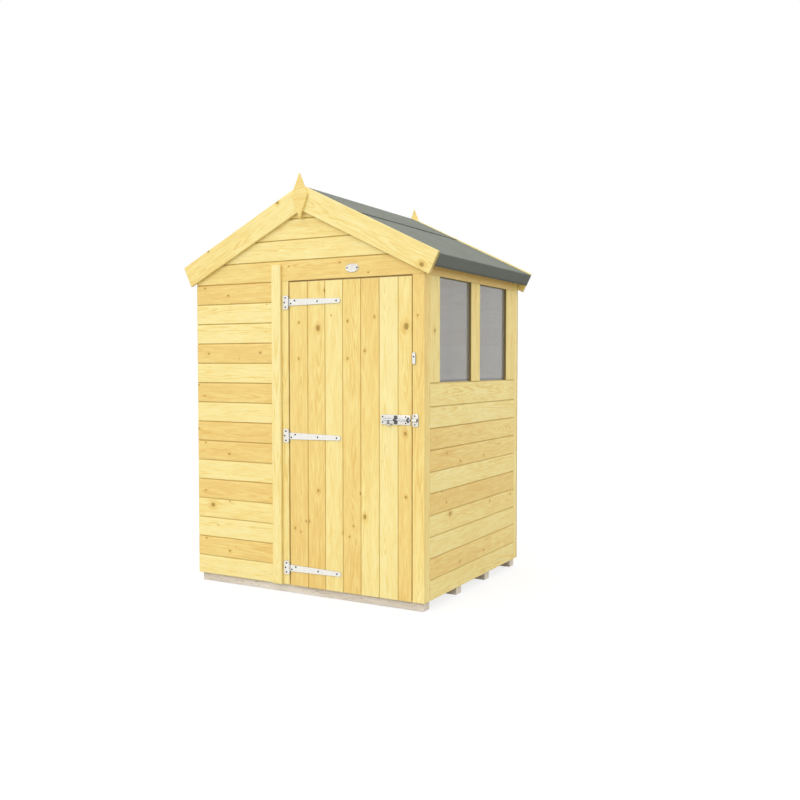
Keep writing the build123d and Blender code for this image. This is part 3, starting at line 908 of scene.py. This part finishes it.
# Bedding tape, and the painted shade lining the reveals.
tape = box_mesh("glazing_tape", tape_and_shade_spans, 0.3 * mm)
dressed(tape, surface("brown_tape_and_reveal_shade", tape_finish), "shed", "glazing")

# ---- Roof boards and fascias ---------------------------------------------------
# Tongue-and-groove boards run along each slope with their vee-joints showing inside,
# and a thicker square-edged fascia is nailed along each eaves.
roof_board, roof_courses = 12 * mm, 8
for side, word in ((-1, "left"), (1, "right")):
    low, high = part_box("roof_boards_" + word)
    apex = (0, low.y if side > 0 else high.y, high.z - roof_board / cos(pitch))
    slope_length = (high.x - low.x) / cos(pitch) - roof_board * sin(pitch) / cos(pitch)
    made = boarding(
        "roof_boarding_" + word, apex, (0, side, 0), -slope(side)[1], high.y - low.y,
        [slope_length / roof_courses] * roof_courses, thickness=roof_board, vee=1.8 * mm,
        cove=(1.8 * mm, 1.8 * mm), cuts=[(Vector((0, 0, 0)), Vector((-side, 0, 0)))],
        material=framing, seed=12 + side
    )
    mark_grain(made.data, (0, 0, 1), seed=80 + side, run=(0, 1, 0))
    dressed(made, framing, "shed", "framing", "roof_boards_" + word)
    edge = "fascia_" + word
    made = timbers(edge + "_board", edge)
    mark_grain(made.data, (1, 0, 0), "p", seed=84 + side)
    dressed(made, pine, "shed", "pine", edge)

# ---- Roofing felt --------------------------------------------------------------
# Mineral roofing felt is laid along each slope and folded down over the fascia, and
# a strip is lapped over the ridge. It is bitumen sheet faced with green-grey slate
# granules.
felt_thickness, fold_radius, fold_drop = 3 * mm, 6 * mm, 72 * mm
sag, ridge_sag = 0.5 * mm, 0.3 * mm
sheet_rows, slope_steps, bend_steps, drop_steps, ridge_steps = 61, 12, 5, 6, 10


def felt_finish(tree):
    """Slate granules in bitumen, with painted shade in the fold and black along a cut edge."""
    spot = object_spot(tree)
    granules = {"Vector": spot, "Scale": 620.0}
    grit = node(tree, "ShaderNodeTexVoronoi", named=granules, feature="F1").outputs
    chip = parts(Value(grit["Color"]))
    cloud = stretched_noise(spot, (2.5, 2.5, 2.5), 4.0)
    fine = stretched_noise(spot, (900, 900, 900), 2.0)
    tone = chip[0] * 0.5 + weighted(fine, 0.3, 0.05) + weighted(cloud, 0.3, -0.15)
    slate = ((0.105, 0.116, 0.095), (0.185, 0.20, 0.167), (0.315, 0.333, 0.282))
    colour = colour_ramp(tone, list(zip((0.0, 0.45, 1.0), slate)))
    # Painted shade: the fold over the fascia is darkened.
    colour = blend(kept(tree, "fold") * 0.27, colour, (0.07, 0.078, 0.065))
    colour = blend(kept(tree, "edge") * 0.6, colour, (0.045, 0.05, 0.045))
    height = Value(grit["Distance"]) + fine * 0.4
    return colour, weighted(chip[1], 0.2, 0.75), height, 0.6 * mm


felt = surface("mineral_felt", felt_finish, specular=0.25)


def softened(bm, angle):
    """Shades faces as one across every edge that turns by less than angle, in degrees."""
    for face in bm.faces:
        face.smooth = True
    for edge in bm.edges:
        if edge.calc_face_angle(0) > radians(angle):
            edge.smooth = False


def felt_sheet(name, member, side_line, wave, marks):
    """A felt sheet that follows a line down the roof, given as (x, z, x, z) pairs of
    its top and under faces, with small waves wave(y, step) and marks for each step."""
    steps = len(side_line)
    low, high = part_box(member)
    points, fold_shades, edges, faces = [], [], [], []
    for row in range(sheet_rows):
        y = low.y + (high.y - low.y) * row / (sheet_rows - 1)
        for under in (0, 1):
            for step, (x, z, under_x, under_z) in enumerate(side_line):
                points.append((under_x, y, under_z) if under else (x, y, z - wave(y, step)))
                fold, edge = marks(step)
                fold_shades.append(fold)
                edges.append(1.0 if under else edge)

    def face(*corners):
        faces.append([(row * 2 + under) * steps + step for row, under, step in corners])

    for row in range(sheet_rows - 1):
        for step in range(steps - 1):
            for under in (0, 1):
                after = (row + 1, under, step + 1)
                face((row, under, step), (row + 1, under, step), after, (row, under, step + 1))
        for step in (0, steps - 1):
            face((row, 0, step), (row, 1, step), (row + 1, 1, step), (row + 1, 0, step))
    for row in (0, sheet_rows - 1):
        for step in range(steps - 1):
            face((row, 0, step), (row, 0, step + 1), (row, 1, step + 1), (row, 1, step))
    mesh = outward(name, points, faces)
    for label, numbers in (("fold", fold_shades), ("edge", edges)):
        mesh.attributes.new(label, "FLOAT", "POINT").data.foreach_set("value", numbers)
    bm = opened(mesh)
    softened(bm, 50)
    dressed(linked(name, closed(bm, mesh)), felt, "shed", "roofing_felt", member)


fold_x, felt_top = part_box("felt_right")[1].x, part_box("felt_right")[1].z
for side, member in ((-1, "felt_left"), (1, "felt_right")):
    down_slope, normal = slope(side)
    apex = Vector((0, 0, felt_top))
    straight = abs(fold_x) / cos(pitch) - fold_radius
    faces = []
    for step in range(slope_steps + 1):
        spot = apex + down_slope * straight * min(1, step / (slope_steps - 0.9))
        under = spot - normal * felt_thickness
        if step == 0:
            under = Vector((0, 0, felt_top - felt_thickness / cos(pitch)))
        faces.append((spot, under))
    bend = apex + down_slope * straight - normal * fold_radius
    for step in range(1, bend_steps + 1):
        angle = radians(90) * step / bend_steps
        ray = normal * cos(angle) + down_slope * sin(angle)
        faces.append((bend + ray * fold_radius, bend + ray * (fold_radius - felt_thickness)))
    for step in range(1, drop_steps + 1):
        share = (step / drop_steps) ** 1.6
        spot = bend + down_slope * fold_radius - normal * (fold_drop - fold_radius) * share
        faces.append((spot, spot - down_slope * felt_thickness))

    def ripple(y, step, side=side):
        """Slight sag between the boards and looseness at the fold."""
        return sag * (1 - cos(9.0 * y + 1.3 * side)) * min(step, 6) / 6 * (step < 11)

    # The share of painted shade at each step of the fold, and 1 on the cut edge.
    def fold_shade_and_edge(step, last=len(faces) - 1):
        return max(0.0, min(1.0, (step - slope_steps) / 4)), float(step == last)

    line = [(spot.x, spot.z, under.x, under.z) for spot, under in faces]
    felt_sheet(member + "_sheet", member, line, ripple, fold_shade_and_edge)

cover_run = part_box("felt_ridge")[1].x / cos(pitch)
line = []
for step in range(-ridge_steps, ridge_steps + 1):
    down_slope, normal = slope(-1 if step < 0 else 1)
    along = abs(step) / ridge_steps * (cover_run - felt_thickness * sin(pitch) / cos(pitch))
    under = Vector((0, 0, felt_top)) + down_slope * along
    spot = under + normal * felt_thickness
    if step == 0:
        spot = Vector((0, 0, felt_top + felt_thickness / cos(pitch) - 0.2 * mm))
    line.append((spot.x, spot.z, under.x, under.z + 0.3 * mm))


def ridge_ripple(y, step):
    return ridge_sag * (1 - cos(7 * y)) * min(1, abs(step - ridge_steps) / 5)


def ridge_edges(step):
    return 0.0, float(step in (0, 2 * ridge_steps))


felt_sheet("felt_ridge_strip", "felt_ridge", line, ridge_ripple, ridge_edges)

# ---- Bargeboards and finials ---------------------------------------------------
# A planed pine bargeboard covers the end of each slope and the edge of the felt, cut
# plumb at the apex, and a sawn diamond is nailed over the joint at each end.
barge_knots = [(752, -667, 1807, 10.2), (-156, -667, 2198, 7.7), (-659, -667, 1958, 5.1)]
for name, member, tones, seed in (
    ("left_bargeboards", "bargeboards_left", "mp p", 90),
    ("right_bargeboards", "bargeboards_right", "np p", 91)
):
    made = timbers(name, member, arris=2 * mm)
    mark_grain(made.data, (0, 1, 0), tones, barge_knots, seed=seed)
    dressed(made, pine, "shed", "pine", member)
made = timbers("diamond_finials", "finials", arris=1.5 * mm)
mark_grain(made.data, (0, 1, 0), "m m", seed=95, run=(1, 0, 0.15))
dressed(made, pine, "shed", "pine", "finials")

# ---- Door ----------------------------------------------------------------------
# Seven upright pine boards, tongued and grooved with vee-joints, are nailed to three
# ledges, with a brace between each pair.
low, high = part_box("door_boards")
plank_widths = [124.25 * mm] + 6 * [board_cover]
door = boarding(
    "door_planks", (low.x, low.y, high.z), (0, 0, -1), (0, -1, 0), high.z - low.z, plank_widths,
    vee=3.2 * mm, cove=(3.6 * mm, 3.2 * mm), cuts=[(high, (1, 0, 0)), (low, (-1, 0, 0))],
    material=pine, seed=14
)
door_knots = on_front(
    (149, 1699, 7), (189, 1563, 3), (102, 1496, 12), (655, 1494, 12.8), (462, 1549, 5),
    (401, 1368, 5), (-26, 1529, 5), (294, 1530, 5), (-27, 1329, 4.6), (293, 1328, 4.6),
    (101, 598, 6), (18, 420, 4.2), (41, 421, 4.2), (-57, 376, 5), (-16, 358, 3.6), (329, 420, 4.6),
    (303, 359, 4), (265, 374, 5.4), (374, 600, 4.6), (401, 476, 9.5), (652, 600, 6), (649, 934, 7.4)
)
mark_grain(door.data, (1, 0, 0), "om on np om po pw on", door_knots, seed=101)
dressed(door, pine, "door", "pine", "door_boards")
made = timbers("door_ledges_and_braces", "door_ledges", "door_braces", arris=2 * mm)
mark_grain(made.data, (0, 0, 1), seed=103)
dressed(made, framing, "door", "framing", "door_ledges", "door_braces")

# The door closes to a planed stop lath nailed under the head of the doorway and down
# the latch side, a little behind its boards.
stop_size = 20 * mm
stop_clear = 5.5 * mm
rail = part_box("front_rails")
stop_y = (high.y + stop_clear, high.y + stop_clear + stop_size)
stop_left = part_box("hinge_strip")[1].x
header = gable_low.z
over_door = ((stop_left, rail[1].x), stop_y, (header - stop_size, header))
latch_side = ((rail[1].x - stop_size, rail[1].x), stop_y, (rail[0].z, header - stop_size))
stops = box_mesh("doorway_stops", [over_door, latch_side], 1 * mm)
mark_grain(stops.data, (1, 0, 0), seed=105, wild=0.6)
dressed(stops, framing, "shed", "framing")

# ---- Fittings ------------------------------------------------------------------
# Tee hinges, a padbolt, a turn button and a plain oval plate are pressed from
# zinc-plated steel and fixed with dark pan-head screws. The bolt's rod is drawn steel. All
# the metal has painted shade on the sides turned from the front, and the bent guides are
# coloured near black as a painted dark reflection.
reflection_black, shadow_grey = (0.06, 0.06, 0.058), (0.085, 0.09, 0.105)


def plated(name, light, deep, edge):
    """A metal between two greys, with painted shade of strength edge on the sides turned from the
    front.
    """

    def colour_of(tree):
        spot = object_spot(tree)
        grains = {"Vector": spot, "Scale": 160.0}
        spangle = output(tree, "ShaderNodeTexVoronoi", named=grains, place="Color", feature="F1")
        cloud = stretched_noise(spot, (60, 60, 60), 3.0)
        colour = blend(parts(spangle)[0], light, tuple(0.87 * c for c in light))
        colour = blend(weighted(cloud, 0.6, -0.16), colour, deep)
        # Painted shade: faces turned from the front darken towards shadow_grey.
        front = parts(object_spot(tree, "Normal"))[1] * -1.0
        colour = blend(smooth(front, 0.4, 0.96, edge, 0.0), colour, shadow_grey)
        return colour, weighted(cloud, 0.2, 0.25), cloud, 0.05 * mm

    return surface(name, colour_of, Metallic=1.0)


def dark_finish(tree):
    """Near-black steel."""
    cloud = stretched_noise(object_spot(tree), (500, 500, 500), 2.0)
    colour = blend(cloud, (0.018, 0.017, 0.016), (0.045, 0.042, 0.04))
    return colour, weighted(cloud, 0.25, 0.4), cloud, 0.05 * mm


# Each finish below paints shade on the sides turned from the front; edge sets how much.
zinc = plated("zinc_plate", (0.94, 0.925, 0.865), (0.73, 0.72, 0.675), 0.8)
edge_shaded_zinc = plated("padbolt_zinc", (0.87, 0.845, 0.775), (0.67, 0.65, 0.595), 0.9)
steel = plated("drawn_steel", (0.70, 0.715, 0.75), (0.40, 0.42, 0.46), 0.95)
# The guides' near-black colour is a painted dark reflection.
painted_dark_steel = plated("dark_reflection_steel", (0.15, 0.15, 0.145), reflection_black, 0.9)
screw_steel = surface("screw_steel", dark_finish, specular=0.15)

# A fixing of one kind at each point, turned to face out and spun by chance.
inputs = {"Geometry": "Geometry", "Fixing": "Object", "Seed": "Int", "Material": "Material"}
fixings, given = group("Geometry", "fixings", inputs)
facing = {"Vector": named_value(fixings, "facing", "FLOAT_VECTOR")}
aimed = output(fixings, "FunctionNodeAlignRotationToVector", named=facing, axis="Z")
turning = {"Axis": (0, 0, 1), "Angle": by_chance(given["Seed"], 2 * pi)}
spin = output(fixings, "FunctionNodeAxisAngleToRotation", named=turning)
spun = output(fixings, "FunctionNodeRotateRotation", aimed, spin, rotation_space="LOCAL")
scale, material = named_value(fixings, "size"), given["Material"]
copies(fixings, given["Geometry"], given["Fixing"], spun, scale, material)


def circle(count):
    """Points evenly round a circle of radius 1."""
    turns = [2 * pi * step / count for step in range(count)]
    return [(cos(angle), sin(angle)) for angle in turns]


def turned_shape(name, profile, sides):
    """A round shape about z from (radius, height) pairs, from the top down."""
    points, faces = [(0, 0, profile[0][1])], []
    for radius, height in profile:
        points += [(radius * x, radius * y, height) for x, y in circle(sides)]
    for step in range(sides):
        after = (step + 1) % sides
        faces.append((0, 1 + step, 1 + after))
        for ring in range(len(profile) - 1):
            a, b = 1 + ring * sides, 1 + (ring + 1) * sides
            faces.append((a + step, b + step, b + after, a + after))
    last = 1 + (len(profile) - 1) * sides
    faces.append(tuple(last + step for step in reversed(range(sides))))
    return bpy.data.objects.new(name, outward(name, points, faces))


def pan_head():
    """A pan-head screw 1 m in radius, with a cross recess; it is scaled to size."""
    profile = [(0.30, 0.50), (0.62, 0.46), (0.86, 0.34), (1.0, 0.14), (1.0, -0.2)]
    head = turned_shape("pan_head", profile, 14)
    scene.collection.objects.link(head)
    bm = bmesh.new()
    long, short, deep = (-0.575, 0.575), (-0.12, 0.12), (0.25, 0.75)
    add_boxes(bm, [(long, short, deep), (short, long, deep)])
    cross = shown("cross", bm)
    cut = head.modifiers.new("recess", "BOOLEAN")
    cut.object, cut.operation, cut.solver, cut.use_self = cross, "DIFFERENCE", "EXACT", True
    ready = head.evaluated_get(bpy.context.evaluated_depsgraph_get())
    mesh = bpy.data.meshes.new_from_object(ready)
    for item in (head, cross):
        bpy.data.objects.remove(item)
    return bpy.data.objects.new("pan_head", mesh)


screw = pan_head()


def fix(name, places, size, body, seed):
    """Screws of one size at places, all facing the front."""
    facing = ("FLOAT_VECTOR", [(0, -1, 0)] * len(places))
    sizes = {"facing": facing, "size": ("FLOAT", [size] * len(places))}
    values = {"Fixing": screw, "Seed": seed, "Material": screw_steel}
    dressed(grown(name, places, sizes, fixings, values), screw_steel, body, "hardware")


for name, member, body in (
    ("hinge_leaves", "hinge_plates", "shed"), ("hinge_arms", "hinge_straps", "door"),
    ("turn_button_bar", "turn_button", "button")
):
    dressed(timbers(name, member, arris=0.6 * mm), zinc, body, "hardware", member)

plate_metal, strip_metal = 3 * mm, 2 * mm
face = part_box("door_boards")[0].y
on_metal = face - plate_metal
heights = [(a.z + b.z) / 2 for a, b in solid_boxes("door_ledges")]
for name, middle, spots, body, seed in (
    ("hinge_leaf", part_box("hinge_plates")[0].x, ((16.5, 26), (9.5, 0), (16.5, -26)), "shed", 7),
    ("hinge_arm", 0, ((-79, -7.5), (-52, 8.5), (99, 0), (223, 0)), "door", 8)
):
    places = [(middle + x * mm, on_metal, z0 + z * mm) for z0 in heights for x, z in spots]
    fix(name + "_screws", places, 4.8 * mm, body, seed)


corner_steps = 4
bar_sides = 14


def rounded(low, high, radius):
    """The outline of a plate with rounded corners, as (x, z) points."""
    points = []
    for x, z, first in (
        (high.x - radius, high.z - radius, 0), (low.x + radius, high.z - radius, 90),
        (low.x + radius, low.z + radius, 180), (high.x - radius, low.z + radius, 270)
    ):
        for step in range(corner_steps + 1):
            angle = radians(first + 90 * step / corner_steps)
            points.append((x + radius * cos(angle), z + radius * sin(angle)))
    return points


def band(bm, first, second):
    """Faces between two closed rings of points."""
    for i in range(len(first)):
        j = (i + 1) % len(first)
        bm.faces.new((first[i], first[j], second[j], second[i]))


def pressed(bm, outline):
    """Adds a flat plate that lies on the boards."""
    near, far = [[bm.verts.new((x, y, z)) for x, z in outline] for y in (on_metal, face)]
    bm.faces.new(near)
    bm.faces.new(list(reversed(far)))
    band(bm, near, far)


def arch(bm, left, right, axis, inner, flange):
    """Adds a strip bent over the rod, with a flange each side on the plate."""
    foot = on_metal - 0.05 * mm
    lines = []
    for radius, y in ((inner + strip_metal, foot - strip_metal), (inner, foot)):
        bend = [radians(a) for a in range(90, -1, -15)]
        round_rod = [(axis[0] - radius * cos(a), radius * sin(a)) for a in bend]
        lines.append([(y, flange), (y, radius)] + round_rod)
    over, under = lines
    section = over + [(y, -z) for y, z in reversed(over[:-1])]
    section += [(y, -z) for y, z in under] + [(y, z) for y, z in reversed(under[:-1])]
    rings = [[bm.verts.new((x, y, axis[1] + z)) for y, z in section] for x in (left, right)]
    band(bm, *rings)
    count = len(section)
    for ring in rings:
        for i in range(count // 2 - 1):
            bm.faces.new((ring[i], ring[i + 1], ring[count - 2 - i], ring[count - 1 - i]))


def metalwork(name, bm, finish, body, *nodes, arris=0.5 * mm, angle=40):
    """Turns built metal into a piece, with its edges eased and faces outwards."""
    bmesh.ops.recalc_face_normals(bm, faces=bm.faces)
    sharp = [e for e in bm.edges if len(e.link_faces) == 2 and e.calc_face_angle() > radians(50)]
    eased(bm, sharp, arris)
    softened(bm, angle)
    dressed(shown(name, bm), finish, body, "hardware", *nodes)


# The padbolt: two bent guides on a pressed plate carry a round rod with a drop knob,
# and a third guide on the strip keeps it.
low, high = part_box("bolt_plate")
rod_low, rod_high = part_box("bolt_rod")
rod_radius, guide_slack, keeper_slack = 5 * mm, 0.4 * mm, 1.5 * mm
axis = (rod_low.y + rod_radius, (low.z + high.z) / 2)
middle_x = (low.x + high.x) / 2
bm = bmesh.new()
pressed(bm, rounded(low, high, 6 * mm))
metalwork("padbolt_plate", bm, edge_shaded_zinc, "door", "bolt_plate")
bm = bmesh.new()
for left, right, foot in (
    (middle_x - 10 * mm, middle_x + 10 * mm, 23 * mm), (high.x - 20 * mm, high.x - 9 * mm, 15 * mm)
):
    arch(bm, left, right, axis, rod_radius + guide_slack, foot)
metalwork("padbolt_guides", bm, painted_dark_steel, "door")
spots = (
    (low.x + 10 * mm, 16), (low.x + 10 * mm, -14), (high.x - 29 * mm, 17), (high.x - 29 * mm, -17)
)
bolt_screws = [(x, on_metal, axis[1] + z * mm) for x, z in spots]

low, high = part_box("bolt_keeper")
keeper_x = (low.x + high.x) / 2
bm = bmesh.new()
pressed(bm, rounded(low, high, 9 * mm))
arch(bm, keeper_x - 15 * mm, keeper_x + 13 * mm, axis, rod_radius + keeper_slack, 11 * mm)
metalwork("padbolt_keeper", bm, edge_shaded_zinc, "shed", "bolt_keeper")
keeper_screws = [(keeper_x - 3 * mm, on_metal, axis[1] + z * mm) for z in (23, -23)]

profile = [
    (3.4 * mm, rod_high.x), (4.6 * mm, rod_high.x - 0.6 * mm),
    (rod_radius, rod_high.x - 1.8 * mm), (rod_radius, rod_low.x + 1.0 * mm), (4.2 * mm, rod_low.x)
]
rod = turned_shape("padbolt_rod", profile, 24)
rod.data.transform(Matrix.Translation((0, *axis)) @ Matrix.Rotation(radians(90), 4, "Y"))


def bent_bar(path, radii):
    """A round bar whose middle follows path, points in the plane of x and z."""
    points = []
    for number, (x, z) in enumerate(path):
        before, after = path[max(number - 1, 0)], path[min(number + 1, len(path) - 1)]
        aim = Vector((after[0] - before[0], 0, after[1] - before[1])).normalized()
        side = Vector((0, 1, 0))
        across = side.cross(aim)
        for u, v in circle(bar_sides):
            points.append(tuple(Vector((x, 0, z)) + radii[number] * (u * across + v * side)))
    last = len(points) - bar_sides
    faces = [tuple(range(bar_sides)), tuple(last + s for s in reversed(range(bar_sides)))]
    for ring in range(0, last, bar_sides):
        for step in range(bar_sides):
            a, b = ring + step, ring + (step + 1) % bar_sides
            faces.append((a, b, b + bar_sides, a + bar_sides))
    mesh = bpy.data.meshes.new("bent_bar")
    mesh.from_pydata(points, [], faces)
    return bpy.data.objects.new("bent_bar", mesh)


# The rod is drawn by a bar welded under it, which hangs down and turns along the plate.
knob_x = rod_low.x + 27 * mm
drop, turn_radius, foot_reach, bar = 25.5 * mm, 6 * mm, 26 * mm, 3.0 * mm
hang = [(0.0, 0.0), (0.0, -drop + turn_radius)]
for step in range(1, 6):
    angle = radians(18 * step)
    hang.append((turn_radius * (1 - cos(angle)), -drop + turn_radius * (1 - sin(angle))))
hang += [(foot_reach - 1.2 * mm, -drop), (foot_reach, -drop)]
knob = bent_bar(hang, [bar] * (len(hang) - 1) + [0.6 * bar])
knob.data.transform(Matrix.Translation((knob_x, *axis)))
bm = opened(rod.data, knob.data)
for item in (rod, knob):
    bpy.data.objects.remove(item)
metalwork("padbolt_rod", bm, steel, "bolt", "bolt_rod", arris=0.2 * mm, angle=35)
fix("padbolt_screws", bolt_screws, 4.0 * mm, "door", 9)
fix("keeper_screws", keeper_screws, 4.0 * mm, "shed", 10)

# The turn button pivots on one screw.
pivot = next(j for j in frame["joints"] if j["name"] == "button_turn")["pos_m"]
place = (pivot[0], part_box("turn_button")[0].y, pivot[2])
fix("turn_button_screw", [place], 4.3 * mm, "button", 11)

# The oval plate is stamped with a raised rim and left bare; the sides of the rim carry painted
# shade.
low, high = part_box("name_plate")
centre = (low + high) / 2
bm = bmesh.new()
rings = []
for share, rise in ((1.0, 0.0), (1.0, 2.2), (0.965, 3.0), (0.90, 3.0), (0.86, 1.9), (0.4, 2.1)):
    across, up = (high.x - low.x) / 2 * share, (high.z - low.z) / 2 * share
    outline = [(centre.x + across * x, centre.z + up * z) for x, z in circle(48)]
    rings.append([bm.verts.new((x, high.y - rise * mm, z)) for x, z in outline])
for ring, after in zip(rings, rings[1:]):
    band(bm, ring, after)
bm.faces.new(rings[0])
bm.faces.new(rings[-1])
metalwork("oval_plate", bm, edge_shaded_zinc, "shed", "name_plate", arris=0.1 * mm)
plate_screws = [(centre.x + x * mm, high.y - 1.9 * mm, centre.z) for x in (-31, 31)]
fix("oval_plate_screws", plate_screws, 4.3 * mm, "shed", 12)
